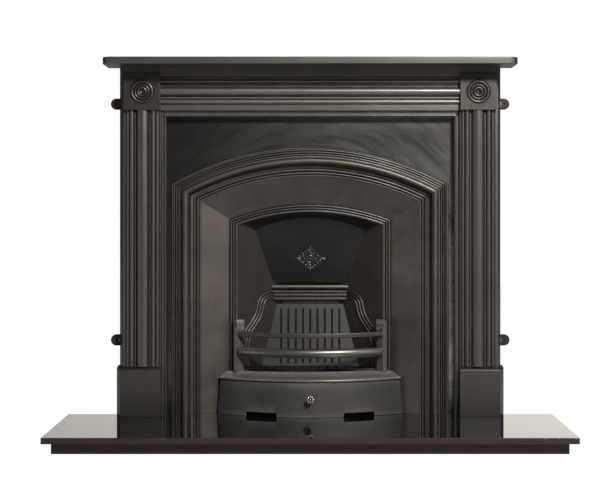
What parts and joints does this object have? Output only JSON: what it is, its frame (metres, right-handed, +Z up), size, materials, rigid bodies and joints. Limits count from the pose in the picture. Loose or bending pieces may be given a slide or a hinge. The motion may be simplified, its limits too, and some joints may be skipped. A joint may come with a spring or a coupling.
{
  "type": "cast iron fireplace",
  "caption": "Cast iron fireplace: reeded mantel with bullseye blocks, arched insert with hinged damper, bowed fire bars, ashpan cover and ash pan on a polished stone hearth.",
  "frame": {"origin": "on the floor, in the middle of the plane where the mantel's back stands against the wall; the underside of the hearth's middle bearer passes through it", "axes": "+X to the right as seen from the room, +Y into the wall, +Z up; the fireplace faces -Y"},
  "size_m": [1.524, 0.719, 1.16],
  "materials": {
    "blacked_iron": "black-leaded and buffed, semi-gloss",
    "insert_iron": "black-leaded and buffed, satin",
    "firebox_iron": "black-leaded, matt",
    "granite": "polished black granite",
    "granite_riser": "honed dark stone strip",
    "bearer_wood": "sawn softwood",
    "polished_steel": "polished",
    "fixing_steel": "self-colour",
    "sheet_steel": "stove-black enamel"
  },
  "bodies": {
    "surround": {"hearth_slab": "granite", "back_hearth_slab": "granite", "hearth_front_riser": "granite_riser", "right_hearth_riser": "granite_riser", "left_hearth_riser": "granite_riser", "hearth_middle_bearer": "bearer_wood", "hearth_back_bearer": "bearer_wood", "mantel_shelf": "blacked_iron", "frieze": "blacked_iron", "right_jamb": "blacked_iron", "left_jamb": "blacked_iron", "right_plinth": "blacked_iron", "left_plinth": "blacked_iron", "right_corner_block": "blacked_iron", "left_corner_block": "blacked_iron", "insert_surround": "insert_iron", "inner_arch_frame": "insert_iron", "throat_plate": "firebox_iron", "right_fire_cheek": "firebox_iron", "left_fire_cheek": "firebox_iron", "fireback": "firebox_iron", "fireback_cap": "firebox_iron", "damper_hinge_rod": "fixing_steel", "front_ledge": "insert_iron", "right_frieze_bolt": "fixing_steel", "left_frieze_bolt": "fixing_steel", "right_frieze_nut": "fixing_steel", "left_frieze_nut": "fixing_steel", "right_shelf_bolt": "fixing_steel", "left_shelf_bolt": "fixing_steel", "right_corner_block_screw": "fixing_steel", "left_corner_block_screw": "fixing_steel", "right_plinth_screw": "fixing_steel", "left_plinth_screw": "fixing_steel", "right_frame_screw_1": "fixing_steel", "left_frame_screw_1": "fixing_steel", "right_frame_screw_2": "fixing_steel", "left_frame_screw_2": "fixing_steel", "right_cheek_bolt_1": "fixing_steel", "left_cheek_bolt_1": "fixing_steel", "right_cheek_bolt_2": "fixing_steel", "left_cheek_bolt_2": "fixing_steel", "right_throat_screw": "fixing_steel", "left_throat_screw": "fixing_steel", "right_ledge_bolt": "fixing_steel", "left_ledge_bolt": "fixing_steel"},
    "damper": {"damper_flap": "firebox_iron", "damper_ornament": "firebox_iron"},
    "fire_bars": {"front_bars": "insert_iron"},
    "grate": {"bottom_grate": "firebox_iron"},
    "cover": {"ashpan_cover": "insert_iron", "ashpan_knob": "polished_steel", "ashpan_knob_nut": "fixing_steel"},
    "pan": {"ash_pan": "sheet_steel"}
  },
  "joints": [
    {"name": "damper_hinge", "type": "hinge", "parent": "surround", "child": "damper", "pos_m": [0, 0.156, 0.461], "axis": [-1, 0, 0], "range_deg": [0, 50]},
    {"name": "front_bars_lift", "type": "slide", "parent": "surround", "child": "fire_bars", "axis": [0, 0, 1], "range_m": [0, 0.05]},
    {"name": "bottom_grate_lift", "type": "slide", "parent": "surround", "child": "grate", "axis": [0, 0, 1], "range_m": [0, 0.05]},
    {"name": "ashpan_cover_slide", "type": "slide", "parent": "surround", "child": "cover", "axis": [0, -1, 0], "range_m": [0, 0.2]},
    {"name": "ash_pan_slide", "type": "slide", "parent": "surround", "child": "pan", "axis": [0, -1, 0], "range_m": [0, 0.2]}
  ],
  "couplings": [
    {"joint": "ash_pan_slide", "follows": "ashpan_cover_slide", "ratio": 1}
  ]
}
